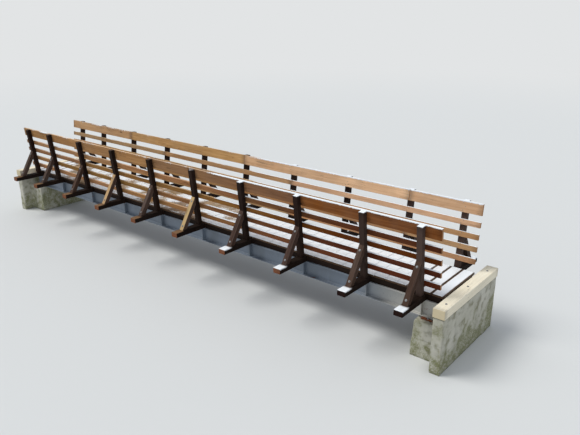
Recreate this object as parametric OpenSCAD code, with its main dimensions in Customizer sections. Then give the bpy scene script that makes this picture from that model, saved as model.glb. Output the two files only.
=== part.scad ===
// Timber-railed footbridge on two steel girders, from its two abutments up.
// X runs along the bridge, Y across it and Z up. The origin is on the ground, at the centre.
// The front is the -Y side and the left end is at -X.

/* [Span] */
// Spacing of the floor beams and rail posts
bay = 1219; // [1000:1:1400]
// Number of post spacings in the whole length
bays = 9; // [5:1:10]
// Distance from each end of the rails to the end post's centre
end_inset = 290; // [220:1:400]
// Clear width between the two rails at the deck
walk_w = 1066; // [900:1:1500]

/* [Deck] */
// Width of a deck plank
plank_w = 184; // [120:1:240]
// Thickness of a deck plank
plank_t = 38; // [25:1:65]
// Least gap between two deck planks
plank_gap = 6; // [3:1:12]
// Gap between the planks' ends and the rail boards
plank_side_gap = 6; // [2:1:15]
// Distance that the deck reaches past the rails at each end
deck_overhang = 30; // [10:1:60]

/* [Rails] */
// Height of the rail above the deck
rail_h = 1048; // [900:1:1200]
// Outward lean of the rails and their posts, in degrees
rail_lean = 6.5; // [0:0.5:10]
// Width of the top rail board
top_board_w = 184; // [140:1:240]
// Width of a rail slat
slat_w = 89; // [64:1:100]
// Thickness of the rail boards
rail_t = 38; // [25:1:50]
// Number of slats under the top board
slats = 4; // [3:1:4]
// Gap between the deck and the lowest slat, up the lean
toe_gap = 110; // [40:1:140]
// Length of a rail board, in post spacings
board_bays = 3; // [2:1:4]
// Gap between two boards that meet on a post
butt_gap = 3; // [2:1:6]
// Width of a square rail post
post_w = 89; // [75:1:120]

/* [Floor beams] */
// Length of a floor beam, with its two outriggers
beam_len = 2438; // [2300:1:2700]
// Width of a floor beam, which lies flat
beam_w = 140; // [120:1:180]
// Depth of a floor beam
beam_h = 89; // [75:1:140]
// Width of the nailers that lie on the girders
nailer_w = 89; // [60:1:120]
// Distance from the post's foot to the outer edge of the brace's foot
brace_run = 400; // [240:1:480]
// Distance up the post from its foot to the brace's top end
brace_rise = 560; // [450:1:650]
// Thickness of the brace across its length
brace_t = 89; // [60:1:100]

/* [Girders] */
// Distance from a rail board's inner face, at the deck, in to the girder's web
girder_inset = 51; // [20:1:120]
// Depth of a girder
girder_h = 260; // [220:1:320]
// Width of a girder's flanges
flange_w = 146; // [120:1:170]
// Thickness of a girder's flanges
flange_t = 9; // [7:0.5:14]
// Thickness of a girder's web
web_t = 6; // [5:0.5:10]
// Radius of the fillet between web and flange
root_r = 10; // [6:1:14]
// Thickness of the web stiffeners
stiffener_t = 10; // [6:1:14]
// Cut corner of a stiffener, clear of the root fillet
snipe = 22; // [18:1:30]
// Distance from a stiffener's edge to the flange tip
stiffener_inset = 6; // [3:1:12]
// Depth of the channels between the girders
channel_h = 150; // [120:1:180]
// Width of the channels' flanges
channel_w = 50; // [40:1:65]
// Thickness of the channels
channel_t = 7; // [5:0.5:10]
// Gap between a channel's end and the girder's web
channel_gap = 6; // [4:1:20]

/* [Abutments] */
// Height of the bridge seat above the ground
seat_h = 600; // [400:1:1200]
// Length of the bridge seat in front of the backwall
seat_len = 400; // [350:1:600]
// Width of the bridge seat outside each girder flange
seat_margin = 110; // [80:1:200]
// Slope of the seat's front face, from top to bottom
batter = 40; // [0:1:80]
// Chamfer on the concrete's exposed edges
chamfer = 20; // [10:1:30]
// Gap between the deck's end and the sill
end_gap = 30; // [15:1:50]
// Length of an end sill across the bridge
sill_len = 1829; // [1700:1:2100]
// Width of an end sill along the bridge
sill_w = 184; // [140:1:240]
// Depth of an end sill
sill_h = 140; // [100:1:180]
// Length of a bearing plate along the girder
bearing_len = 220; // [160:1:240]
// Distance from a bearing plate's side to the flange tip
bearing_margin = 40; // [30:1:60]
// Thickness of a bearing plate
bearing_t = 20; // [12:1:30]
// Distance from a girder's end to its bearing plate
bearing_inset = 40; // [20:1:60]

/* [Hidden] */
$fn = 48;
TIMBER = [0.76, 0.52, 0.34];
DARK_TIMBER = [0.28, 0.20, 0.16];
FROSTED_TIMBER = [0.80, 0.79, 0.76];
SILL_TIMBER = [0.84, 0.79, 0.66];
BLUE_STEEL = [0.42, 0.47, 0.50];
CONCRETE = [0.55, 0.56, 0.50];

span = bays * bay;
posts = bays + 1;
deck_len = span + 2 * deck_overhang;
board_y = walk_w / 2;
girder_y = board_y - girder_inset;
plank_len = walk_w - 2 * plank_side_gap;
planks = floor((deck_len + plank_gap) / (plank_w + plank_gap));
plank_pitch = (deck_len + (deck_len - planks * plank_w) / (planks - 1)) / planks;

girder_z = seat_h + bearing_t;
beam_z = girder_z + girder_h;
plank_z = beam_z + beam_h;
deck_z = plank_z + plank_t;
rail_len = rail_h / cos(rail_lean);
slat_gap = (rail_len - top_board_w - toe_gap - slats * slat_w) / slats;
slat_pitch = slat_w + slat_gap;

third = round(bays / 3);
framed_posts = [1, 1 + third, posts - third, posts];

backwall_x = deck_len / 2 + end_gap;
sill_z = deck_z - sill_h;

// Distance along the bridge of post i, from 1 at the left end
function post_x(i) =
    i == 1 ? -span / 2 + end_inset :
    i == posts ? span / 2 - end_inset :
    (i - 1) * bay - span / 2;

// First butt joint of a rail row, in bays from the row's starting end
function first_joint(row) = 1 + (board_bays - row % board_bays) % board_bays;

// Places where a rail row is cut, in bays from its starting end
function cuts(row) = concat([0], [for (u = [first_joint(row):board_bays:bays - 1]) u], [bays]);

// Draws the children as they are, and mirrored to the other side when side is -1
module on_side(side) {
    mirror([0, side < 0 ? 1 : 0, 0]) children();
}

// Leans the children out on one side: from the deck's edge, Y runs through a rail board and Z up it
module leaned(side) {
    on_side(side)
        translate([0, board_y, deck_z]) rotate([-rail_lean, 0, 0]) children();
}

// Height, up the lean, at which a leaned line this far out meets the floor beams
function foot_level(out) = (out * sin(rail_lean) - plank_t) / cos(rail_lean);

// Extrudes a profile of (Y, Z) along X, centred
module along_x(length) {
    rotate([90, 0, 90])
        linear_extrude(height = length, center = true) children();
}

module floor_beam(i) {
    color(DARK_TIMBER)
        translate([post_x(i) - beam_w / 2, -beam_len / 2, beam_z])
            cube([beam_w, beam_len, beam_h]);
}

// Rail post, leaned out with the boards, whose foot is cut to stand level on the floor beam
module post(i, side) {
    inner = rail_t;
    outer = rail_t + post_w;
    color(DARK_TIMBER)
        leaned(side)
            translate([post_x(i), 0, 0])
                along_x(post_w)
                    polygon([
                        [inner, foot_level(inner)], [outer, foot_level(outer)],
                        [outer, rail_len], [inner, rail_len]]);
}

// Knee brace: its foot is cut to lie on the floor beam and its head to lie on the leaned post
module brace_outline() {
    level = [cos(rail_lean), sin(rail_lean)];
    slope = [brace_run * level.x, brace_rise - brace_run * level.y];
    head_cut = brace_t * norm(slope) / (brace_run * level.x);
    foot_cut = brace_t * norm(slope) / (brace_rise * level.x);
    polygon([
        brace_run * level, [0, brace_rise],
        [0, brace_rise - head_cut], (brace_run - foot_cut) * level]);
}

module braces(side) {
    outer = rail_t + post_w;
    color(DARK_TIMBER)
        leaned(side)
            for (i = [1:posts])
                translate([post_x(i), outer, foot_level(outer)])
                    along_x(post_w) brace_outline();
}

// One row of rail boards, butted on the posts; the front row starts from the left end
module rail_row(row, side, z, width) {
    ends = cuts(row);
    leaned(side)
        for (k = [0:len(ends) - 2]) {
            near = ends[k] * bay + (k == 0 ? 0 : butt_gap / 2);
            far = ends[k + 1] * bay - (k == len(ends) - 2 ? 0 : butt_gap / 2);
            start = side < 0 ? near - span / 2 : span / 2 - far;
            translate([start, 0, z]) cube([far - near, rail_t, width]);
        }
}

module top_rail(side) {
    color(TIMBER) rail_row(0, side, rail_len - top_board_w, top_board_w);
}

module slat_rows(side) {
    color(TIMBER)
        for (row = [1:slats])
            rail_row(row, side, rail_len - top_board_w - row * slat_pitch, slat_w);
}

module deck_planks() {
    color(FROSTED_TIMBER)
        for (i = [0:planks - 1])
            translate([i * plank_pitch - deck_len / 2, -plank_len / 2, plank_z])
                cube([plank_w, plank_len, plank_t]);
}

// Lengths of timber on the girders' top flanges, between the floor beams
module nailers() {
    color(DARK_TIMBER)
        for (side = [-1, 1], i = [0:posts]) {
            start = i == 0 ? -span / 2 : post_x(i) + beam_w / 2;
            end = i == posts ? span / 2 : post_x(i + 1) - beam_w / 2;
            on_side(side)
                translate([start, girder_y - nailer_w / 2, beam_z])
                    cube([end - start, nailer_w, beam_h]);
        }
}

// Rolled beam section, from its underside up, with a fillet in each corner of the web
module girder_section() {
    for (z = [0, girder_h - flange_t])
        translate([-flange_w / 2, z]) square([flange_w, flange_t]);
    translate([-web_t / 2, 0]) square([web_t, girder_h]);
    for (a = [0, 1], b = [0, 1])
        translate([0, girder_h / 2])
            mirror([a, 0]) mirror([0, b])
                translate([web_t / 2, flange_t - girder_h / 2])
                    difference() {
                        square(root_r);
                        translate([root_r, root_r]) circle(root_r);
                    }
}

// Plate welded between the flanges on one side of the web
module stiffener_outline() {
    near = web_t / 2;
    far = flange_w / 2 - stiffener_inset;
    low = flange_t;
    high = girder_h - flange_t;
    polygon([
        [near, low + snipe], [near + snipe, low], [far, low],
        [far, high], [near + snipe, high], [near, high - snipe]]);
}

// Stiffeners stand outside the web at every floor beam, and inside it at the cross frames
module girder(side) {
    color(BLUE_STEEL)
        on_side(side)
            translate([0, girder_y, girder_z]) {
                along_x(span) girder_section();
                for (i = [1:posts])
                    translate([post_x(i), 0, 0]) along_x(stiffener_t) stiffener_outline();
                for (i = framed_posts)
                    translate([post_x(i), 0, 0])
                        mirror([0, 1, 0]) along_x(stiffener_t) stiffener_outline();
            }
}

// Channel that crosses from web to web, with its back on the stiffeners at x = 0
module channel() {
    length = 2 * (girder_y - web_t / 2 - channel_gap);
    translate([0, -length / 2, 0])
        difference() {
            translate([0, 0, -channel_h / 2]) cube([channel_w, length, channel_h]);
            translate([channel_t, -1, channel_t - channel_h / 2])
                cube([channel_w, length + 2, channel_h - 2 * channel_t]);
        }
}

// Channels between the girders, at the ends and the third points, each on the inner side
module cross_frames() {
    color(BLUE_STEEL)
        for (end = [0, 1], k = [0, 1])
            mirror([end, 0, 0])
                translate([post_x(framed_posts[k]) + stiffener_t / 2, 0, girder_z + girder_h / 2])
                    channel();
}

module bearing_plates() {
    width = flange_w + 2 * bearing_margin;
    color(BLUE_STEEL)
        for (side = [-1, 1], end = [0, 1])
            mirror([end, 0, 0])
                translate([span / 2 - bearing_inset - bearing_len, side * girder_y - width / 2, seat_h])
                    cube([bearing_len, width, bearing_t]);
}

// Bridge seat with a sloped front face, and the backwall that holds the sill
module abutment(end) {
    seat_w = 2 * (girder_y + flange_w / 2 + seat_margin);
    front = backwall_x - seat_len;
    color(CONCRETE)
        mirror([end < 0 ? 1 : 0, 0, 0]) {
            translate([0, seat_w / 2, 0])
                rotate([90, 0, 0])
                    linear_extrude(height = seat_w)
                        polygon([
                            [front - batter, 0], [backwall_x + sill_w / 2, 0],
                            [backwall_x + sill_w / 2, seat_h], [front + chamfer, seat_h],
                            [front, seat_h - chamfer]]);
            translate([0, sill_len / 2, 0])
                rotate([90, 0, 0])
                    linear_extrude(height = sill_len)
                        polygon([
                            [backwall_x, 0], [backwall_x + sill_w, 0],
                            [backwall_x + sill_w, sill_z], [backwall_x, sill_z]]);
        }
}

module end_sills() {
    color(SILL_TIMBER)
        for (end = [0, 1])
            mirror([end, 0, 0])
                translate([backwall_x, -sill_len / 2, sill_z])
                    cube([sill_w, sill_len, sill_h]);
}

for (i = [1:posts]) {
    floor_beam(i);
    post(i, -1);
    post(i, 1);
}
braces(-1);  // front_braces
braces(1);  // back_braces
top_rail(-1);  // front_top_rail
top_rail(1);  // back_top_rail
slat_rows(-1);  // front_slats
slat_rows(1);  // back_slats
deck_planks();
nailers();
girder(-1);  // front_girder
girder(1);  // back_girder
cross_frames();
bearing_plates();
abutment(-1);  // left_abutment
abutment(1);  // right_abutment
end_sills();
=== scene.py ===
# %% [markdown]
# # A timber-railed footbridge
# A narrow plank walkway lies on two steel girders between concrete abutments, and board rails
# stand on posts that are braced from the ends of the floor beams.
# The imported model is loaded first: it fixes every size and place, and each piece made here takes
# its own from it.

# %% Load the frame
import math
import random

import bpy
from mathutils import Matrix, Vector


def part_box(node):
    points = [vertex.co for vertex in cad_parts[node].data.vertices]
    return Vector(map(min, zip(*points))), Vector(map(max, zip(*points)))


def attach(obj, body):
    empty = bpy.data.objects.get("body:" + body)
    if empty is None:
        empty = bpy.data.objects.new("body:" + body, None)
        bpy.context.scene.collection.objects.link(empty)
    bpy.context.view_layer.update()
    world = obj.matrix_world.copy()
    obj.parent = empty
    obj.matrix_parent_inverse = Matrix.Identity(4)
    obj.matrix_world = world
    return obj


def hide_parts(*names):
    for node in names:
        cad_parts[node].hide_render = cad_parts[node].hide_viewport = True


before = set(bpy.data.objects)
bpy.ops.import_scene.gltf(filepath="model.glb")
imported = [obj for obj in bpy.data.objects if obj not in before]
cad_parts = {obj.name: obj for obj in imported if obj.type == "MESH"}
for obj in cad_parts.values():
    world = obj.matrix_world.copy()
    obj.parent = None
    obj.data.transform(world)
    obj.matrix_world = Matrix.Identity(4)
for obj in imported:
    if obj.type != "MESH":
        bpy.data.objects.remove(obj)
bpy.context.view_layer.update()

POSTS = sum(name.startswith("front_post_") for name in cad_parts)
DECK_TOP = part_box("deck_planks")[1].z
RAIL_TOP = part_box("front_top_rail")[1].z
BEAM_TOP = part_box("floor_beam_1")[1].z
X, Y, Z = Vector((1, 0, 0)), Vector((0, 1, 0)), Vector((0, 0, 1))
SIDES = {"front": -1, "back": 1}
print("posts on a side", POSTS, "deck top", round(DECK_TOP, 3), "rail top", round(RAIL_TOP, 3))

# %% [markdown]
# ## The camera
# The picture was taken with a very wide lens from a high place beside the right end, about four
# metres above the deck. The camera stands at that same place and looks the same way, so that the
# perspective agrees. Its lens is longer, which only enlarges the middle of the picture.

# %% Camera
STANCE = Vector((8.60, -7.60, DECK_TOP + 3.785))
HEADING = math.radians(39.6)
DIP = math.radians(19.43)
PHOTO_LENS = 14.77
CLOSER = 2.5


def deselect():
    """Lets go of everything, because an operator acts on all that is selected"""
    bpy.ops.object.select_all(action="DESELECT")


deselect()
bpy.ops.object.camera_add(location=STANCE)
camera = bpy.context.object
camera.name = "camera"
camera.matrix_world = (
    Matrix.Translation(STANCE)
    @ Matrix.Rotation(HEADING, 4, "Z")
    @ Matrix.Rotation(math.pi / 2 - DIP, 4, "X")
)
camera.data.lens = PHOTO_LENS * CLOSER
bpy.context.scene.camera = camera
print("lens", round(camera.data.lens, 1), "mm")

# %% [markdown]
# ## Small helpers for nodes
# A material is a network of nodes. Built by hand, each node is added, set up and wired. The same is
# done here with one short function for each kind of step, so that a material reads like a recipe.
# Colours are written as they look on a screen, from 0 to 255, and turned into the linear values
# that shaders take.

# %% Colours and single nodes
def tint(red, green, blue):
    """A colour as seen on a screen, turned into linear values"""
    parts = [part / 255 for part in (red, green, blue)]
    linear = [p / 12.92 if p < 0.04 else ((p + 0.055) / 1.055) ** 2.4 for p in parts]
    return (*linear, 1.0)


def add_node(tree, kind, **settings):
    made = tree.nodes.new("ShaderNode" + kind)
    for key, value in settings.items():
        setattr(made, key, value)
    return made


def feed(tree, socket, source):
    """Gives an input a link from another node, or a plain value"""
    if isinstance(source, bpy.types.NodeSocket):
        tree.links.new(source, socket)
    else:
        socket.default_value = source


print("a mid grey is", [round(part, 3) for part in tint(128, 128, 128)])

# %% [markdown]
# ## Masks
# A mask is a value from 0 to 1 that says how strongly an effect shows at each point. A finish
# multiplies masks, adds to them, makes them from patterns and measures, and lays a tone where they
# show. These steps come so often that each gets a short name.

# %% Masks
def maths(tree, operation, *values):
    made = add_node(tree, "Math", operation=operation)
    for socket, value in zip(made.inputs, values):
        feed(tree, socket, value)
    return made.outputs[0]


def times(tree, first, second):
    return maths(tree, "MULTIPLY", first, second)


def scaled(tree, value, factor, extra):
    """A value times a factor, plus something extra"""
    return maths(tree, "MULTIPLY_ADD", value, factor, extra)


def left_by(tree, mask):
    """All that a mask doesn't cover"""
    return maths(tree, "SUBTRACT", 1.0, mask)


def rise(tree, value, start, end):
    """A smooth step from 0 at the start to 1 at the end, which may be the lower of the two"""
    made = add_node(tree, "MapRange", interpolation_type="SMOOTHSTEP")
    for title, source in (("Value", value), ("From Min", start), ("From Max", end)):
        feed(tree, made.inputs[title], source)
    return made.outputs["Result"]


def blend(tree, share, first, second):
    """Mixes two colours: share 0 gives the first and 1 the second"""
    made = add_node(tree, "Mix", data_type="RGBA")
    for place, source in ((0, share), (6, first), (7, second)):
        feed(tree, made.inputs[place], source)
    return made.outputs[2]


def tinge(tree, colour, mask, share, tone):
    """Lays a tone over a colour where a mask shows, and by this share at most"""
    return blend(tree, times(tree, mask, share), colour, tone)


print("steps for masks: times, scaled, left by, rise, blend and tinge")

# %% [markdown]
# ## Patterns and places
# A pattern is worked out from a place. A noise is a cloud of values that changes smoothly from
# point to point, and where the place is stretched, the cloud is pulled long. Its seed moves it, so
# that two noises don't lie on each other. A place is either that on the object or a mark that the
# mesh carries.

# %% Patterns and places
def noise(tree, vector, scale, detail=2.0, seed=0.0):
    """A smooth cloud of values: the scale is how many swells it has to a metre"""
    made = add_node(tree, "TexNoise", noise_dimensions="4D")
    for title, source in (("Vector", vector), ("W", seed), ("Scale", scale), ("Detail", detail)):
        feed(tree, made.inputs[title], source)
    return made.outputs[0]


def stretch(tree, vector, factors):
    """Scales a vector by its own factor each way"""
    made = add_node(tree, "VectorMath", operation="MULTIPLY")
    feed(tree, made.inputs[0], vector)
    feed(tree, made.inputs[1], factors)
    return made.outputs[0]


def split(tree, vector):
    """The three parts of a vector"""
    made = add_node(tree, "SeparateXYZ")
    feed(tree, made.inputs[0], vector)
    return made.outputs[0], made.outputs[1], made.outputs[2]


def attribute(tree, name):
    """Reads a mark that the mesh carries"""
    return add_node(tree, "Attribute", attribute_name=name).outputs["Vector"]


def on_object(tree):
    """Coordinates that stay with the object, in metres"""
    return add_node(tree, "TexCoord").outputs["Object"]


print("steps for patterns: noise, stretch, split, attribute and on object")

# %% [markdown]
# ## Shared effects and materials
# Grain, worn corners and frost show on several timbers. Such an effect is a group of nodes with
# named inputs and outputs. It is built once and placed in each material with its own values. The
# main shader stays in the material, where it can be found at once.

# %% Groups and materials
def new_group(name, inputs, outputs):
    """An effect that several materials share, with named inputs and outputs"""
    tree = bpy.data.node_groups.new(name, "ShaderNodeTree")
    for title, value in inputs.items():
        socket = tree.interface.new_socket(title, in_out="INPUT", socket_type="NodeSocketFloat")
        socket.default_value = value
    for title in outputs:
        tree.interface.new_socket(title, in_out="OUTPUT", socket_type="NodeSocketFloat")
    return tree, tree.nodes.new("NodeGroupInput").outputs, tree.nodes.new("NodeGroupOutput").inputs


def use(tree, group, **values):
    made = add_node(tree, "Group", node_tree=group)
    for title, value in values.items():
        feed(tree, made.inputs[title], value)
    return made.outputs


def new_material(name):
    """A material with its main shader, ready to be fed"""
    made = bpy.data.materials.new(name)
    made.use_nodes = True
    return made, made.node_tree, made.node_tree.nodes["Principled BSDF"].inputs


def give_surface(tree, shader, colour, rough, relief, depth):
    """Feeds a main shader its colour, its roughness and a bump of a depth in metres"""
    bump = add_node(tree, "Bump")
    feed(tree, bump.inputs["Height"], relief)
    feed(tree, bump.inputs["Distance"], depth)
    feed(tree, shader["Base Color"], colour)
    feed(tree, shader["Roughness"], rough)
    feed(tree, shader["Normal"], bump.outputs[0])


print("shared effects so far:", len(bpy.data.node_groups))

# %% [markdown]
# ## Floor
# The bridge stands on a wide pale floor. Far away the floor fades into an even backdrop, so that
# no horizon shows. The fade is only for the camera, and the floor still catches the shadow.

# %% Floor
BACKDROP = tint(226, 228, 229)
FLOOR_TONE = tint(214, 216, 216)
FLOOR_SIZE, FLOOR_DROP = 600, 0.002
FADE_START, FADE_END = 16.0, 42.0

deselect()
bpy.ops.mesh.primitive_plane_add(size=FLOOR_SIZE, location=(0, 0, -FLOOR_DROP))
floor = bpy.context.object
floor.name = "floor"

paper, tree, shader = new_material("pale_floor")
spread = add_node(tree, "VectorMath", operation="LENGTH")
feed(tree, spread.inputs[0], on_object(tree))
far = rise(tree, spread.outputs["Value"], FADE_START, FADE_END)
feed(tree, shader["Base Color"], FLOOR_TONE)
feed(tree, shader["Roughness"], 0.9)
glow = add_node(tree, "Emission")
feed(tree, glow.inputs["Color"], BACKDROP)
seen = add_node(tree, "LightPath").outputs["Is Camera Ray"]
fade = add_node(tree, "MixShader")
feed(tree, fade.inputs[0], times(tree, far, seen))
feed(tree, fade.inputs[1], tree.nodes["Principled BSDF"].outputs[0])
feed(tree, fade.inputs[2], glow.outputs[0])
feed(tree, tree.nodes["Material Output"].inputs["Surface"], fade.outputs[0])
floor.data.materials.append(paper)
print("the floor fades from", FADE_START, "to", FADE_END, "metres")

# %% [markdown]
# ## Light
# Soft light from all round is made by the world. One broad sun stands high on the left and gives
# the boards some shape. Together they are set so that a colour facing up renders as it is written.
# The camera sees a plain backdrop instead of the world's light, and so do glossy surfaces.

# %% Sky and sun
SKY, SKY_TONE = 0.58, tint(240, 246, 255)
SUN, SUN_TONE = 2.0, tint(255, 253, 248)
SUN_TILT = (math.radians(18), math.radians(-28), 0)
SUN_BREADTH = math.radians(28)

world = bpy.data.worlds.new("overcast")
bpy.context.scene.world = world
world.use_nodes = True
tree = world.node_tree
sky = tree.nodes["Background"]
feed(tree, sky.inputs["Color"], SKY_TONE)
feed(tree, sky.inputs["Strength"], SKY)
plain = add_node(tree, "Background")
feed(tree, plain.inputs["Color"], BACKDROP)
path = add_node(tree, "LightPath").outputs
shown = maths(tree, "MAXIMUM", path["Is Camera Ray"], path["Is Glossy Ray"])
shown = maths(tree, "MAXIMUM", shown, path["Is Transmission Ray"])
swap = add_node(tree, "MixShader")
feed(tree, swap.inputs[0], shown)
feed(tree, swap.inputs[1], sky.outputs[0])
feed(tree, swap.inputs[2], plain.outputs[0])
feed(tree, tree.nodes["World Output"].inputs["Surface"], swap.outputs[0])

deselect()
bpy.ops.object.light_add(type="SUN", rotation=SUN_TILT)
sun = bpy.context.object
sun.name = "broad_sun"
sun.data.energy = SUN
sun.data.angle = SUN_BREADTH
sun.data.color = SUN_TONE[:3]
bpy.context.scene.view_settings.view_transform = "Standard"
print("sky", SKY, "sun", SUN)

# %% [markdown]
# ## Selecting, as by hand
# Blender's tools act on whatever is selected. By hand, edges and faces are clicked on. Here they
# are picked by a test on their place or direction, in object mode, and the tool then runs in edit
# mode.

# %% Selecting
def activate(piece, *more):
    """Selects these objects alone and works on the first"""
    deselect()
    for each in (piece, *more):
        each.select_set(True)
    bpy.context.view_layer.objects.active = piece


def start_edit(mode):
    """Goes into edit mode with nothing selected"""
    bpy.ops.object.mode_set(mode="EDIT")
    bpy.ops.mesh.select_mode(type=mode)
    bpy.ops.mesh.select_all(action="DESELECT")


def end_edit():
    bpy.ops.object.mode_set(mode="OBJECT")


def pick_edges(piece, wanted):
    """Selects the edges whose two ends satisfy a test, and stays in edit mode"""
    start_edit("EDGE")
    end_edit()
    points = piece.data.vertices
    for edge in piece.data.edges:
        edge.select = wanted(*(points[corner].co for corner in edge.vertices))
    bpy.ops.object.mode_set(mode="EDIT")


def pick_faces(piece, wanted):
    """Selects the faces whose centre and normal satisfy a test, and stays in edit mode"""
    start_edit("FACE")
    end_edit()
    for face in piece.data.polygons:
        face.select = wanted(face.center, face.normal)
    bpy.ops.object.mode_set(mode="EDIT")


print("tests can pick edges and faces")

# %% [markdown]
# ## Modifiers and marks
# A grain pattern has to follow each timber, however it is turned and wherever it is joined to
# others. So each timber is modelled lying along X at the origin, and before it is placed, its
# points are marked with where they lie in the timber, with its half sizes, and with three random
# numbers of its own. The marks travel with the mesh, and the timber finishes read them.

# %% Modifiers and marks
def finish_with(piece, kind, **settings):
    """Adds a modifier, sets it up and applies it"""
    activate(piece)
    bpy.ops.object.modifier_add(type=kind)
    made = piece.modifiers[-1]
    for key, value in settings.items():
        setattr(made, key, value)
    bpy.ops.object.modifier_apply(modifier=made.name)


def hollows(name, size):
    """A cloud pattern that pushes a surface in by uneven amounts"""
    made = bpy.data.textures.new(name, "CLOUDS")
    made.noise_scale = size
    return made


def mark(piece, name, values):
    """Writes one vector for each point of the mesh"""
    layer = piece.data.attributes.get(name)
    layer = layer or piece.data.attributes.new(name, "FLOAT_VECTOR", "POINT")
    layer.data.foreach_set("vector", [part for value in values for part in value])


SAWN_HOLLOWS = hollows("sawn_hollows", 0.22)
print("hollows of a sawn face are", round(SAWN_HOLLOWS.noise_scale, 2), "m wide")

# %% [markdown]
# ## A sawn timber
# The real timbers are sawn and lightly planed: nearly flat faces, eased edges, and a length that
# is never quite straight. A cube is stretched to the size, cut into short lengths, and its edges
# are bevelled. A cloud pattern then presses the faces in by up to two millimetres, so that each
# timber stays within its true size but no longer has dead flat sides. The heavy timbers of the
# frame have their edges worn a little wider than the boards.

# %% Sawn timber
BOARD_EASE, FRAME_EASE = 0.004, 0.005
HOLLOW, LENGTHS = 0.002, 0.3
TOUCHING = 1e-5


def sawn(size, ease=BOARD_EASE):
    """A timber along X, centred at the origin, of a length, a width and a thickness"""
    half = Vector(size) / 2
    deselect()
    bpy.ops.mesh.primitive_cube_add(size=1, scale=size)
    timber = bpy.context.object
    bpy.ops.object.transform_apply(location=False, rotation=False, scale=True)
    pick_edges(timber, lambda a, b: abs(a.x - b.x) > half.x)
    bpy.ops.mesh.subdivide(number_cuts=max(2, round(size[0] / LENGTHS)))

    def outside(a, b):
        return sum(abs(abs(a[k] + b[k]) / 2 - half[k]) < TOUCHING for k in range(3)) > 1

    end_edit()
    pick_edges(timber, outside)
    bpy.ops.mesh.bevel(offset=ease, segments=2, affect="EDGES")
    end_edit()
    finish_with(timber, "DISPLACE", texture=SAWN_HOLLOWS, strength=HOLLOW, mid_level=1.0)
    mark(timber, "place", [point.co for point in timber.data.vertices])
    mark(timber, "half", [half] * len(timber.data.vertices))
    return timber


masters = {}


def stock(size, **settings):
    """The one timber of this size that all others are copied from, modelled when first wanted"""
    key = tuple(round(part * 1000) for part in size)
    if key not in masters:
        masters[key] = sawn(size, **settings)
    return masters[key]


print("edges eased by", BOARD_EASE, "or", FRAME_EASE, "m, faces pressed in by up to", HOLLOW, "m")

# %% [markdown]
# ## Copies laid in place
# Timbers of one size are alike, so each size is modelled once and copied. A copy gets its own
# mesh, is laid along its own direction, and its place is applied to the mesh, so that the object
# itself stays at the origin. Three random numbers then make it a timber of its own.

# %% Copies laid in place
dice = random.Random(1219)


def placement(centre, along, across):
    """The matrix that lays a piece along one direction with its width across another"""
    along, across = along.normalized(), across.normalized()
    turned = Matrix((along, across, along.cross(across))).transposed()
    return Matrix.Translation(centre) @ turned.to_4x4()


def put(master, centre, along=X, across=Y):
    """A copy of a piece, with its own mesh, moved to its place"""
    activate(master)
    bpy.ops.object.duplicate()
    copy = bpy.context.object
    copy.matrix_world = placement(Vector(centre), along, across)
    bpy.ops.object.transform_apply()
    return copy


def grown(timber, tone=None):
    """Gives a placed timber three random marks of its own, of which the first may be set"""
    draws = Vector((dice.random(), dice.random(), dice.random()))
    if tone is not None:
        draws.x = tone
    mark(timber, "board", [draws] * len(timber.data.vertices))
    return timber


print("timbers modelled so far:", len(masters))

# %% [markdown]
# ## Reading the places of many like pieces
# A node such as the deck holds many planks. To find where each one lies, a copy of the node's
# mesh is merged, separated into its loose solids, measured, and thrown away again. The node
# itself isn't touched.

# %% Boxes of a node's solids
MERGE = 0.0002


def merged_copy(name):
    """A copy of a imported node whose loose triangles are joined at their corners"""
    copy = bpy.data.objects.new("copy_of_" + name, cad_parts[name].data.copy())
    bpy.context.scene.collection.objects.link(copy)
    activate(copy)
    start_edit("VERT")
    bpy.ops.mesh.select_all(action="SELECT")
    bpy.ops.mesh.remove_doubles(threshold=MERGE)
    end_edit()
    return copy


def solid_boxes(name):
    """The lowest and highest corner of each solid in a node, from left to right"""
    copy = merged_copy(name)
    start_edit("VERT")
    bpy.ops.mesh.select_all(action="SELECT")
    bpy.ops.mesh.separate(type="LOOSE")
    end_edit()
    boxes = []
    for piece in list(bpy.context.selected_objects):
        points = [point.co for point in piece.data.vertices]
        low = Vector([min(point[k] for point in points) for k in range(3)])
        high = Vector([max(point[k] for point in points) for k in range(3)])
        boxes.append((low, high))
    bpy.ops.object.delete()
    return sorted(boxes, key=lambda box: (round(box[0].z, 3), box[0].x, box[0].y))


print("planks in the packed deck:", len(solid_boxes("deck_planks")))

# %% [markdown]
# ## Finished pieces and the posts' places
# The parts of a piece are joined into one mesh with one material, which then takes the place of
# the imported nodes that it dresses. The posts set the rhythm of the whole bridge, so their places
# are measured here for everything that follows them.

# %% Finished pieces and the posts' places
def gather(name, parts, material, slot, *nodes):
    """Joins parts into one finished piece that stands for its nodes"""
    activate(*parts)
    if len(parts) > 1:
        bpy.ops.object.join()
    piece = bpy.context.object
    piece.name = name
    piece.data.name = name
    piece.data.materials.clear()
    piece.data.materials.append(material)
    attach(piece, "root")
    if nodes:
        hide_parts(*nodes)
    return piece


RAIL_LEAN = math.radians(6.5)
post_boxes = {side: [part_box(f"{side}_post_{i + 1}") for i in range(POSTS)] for side in SIDES}
POST_X = [(low.x + high.x) / 2 for low, high in post_boxes["front"]]
POST_WIDTH = post_boxes["front"][0][1].x - post_boxes["front"][0][0].x
POST_FOOT = POST_WIDTH / math.cos(RAIL_LEAN)
outer_foot_y = {"front": post_boxes["front"][0][1].y - POST_FOOT,
                "back": post_boxes["back"][0][0].y + POST_FOOT}
print("posts stand at", [round(place, 2) for place in POST_X])

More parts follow.
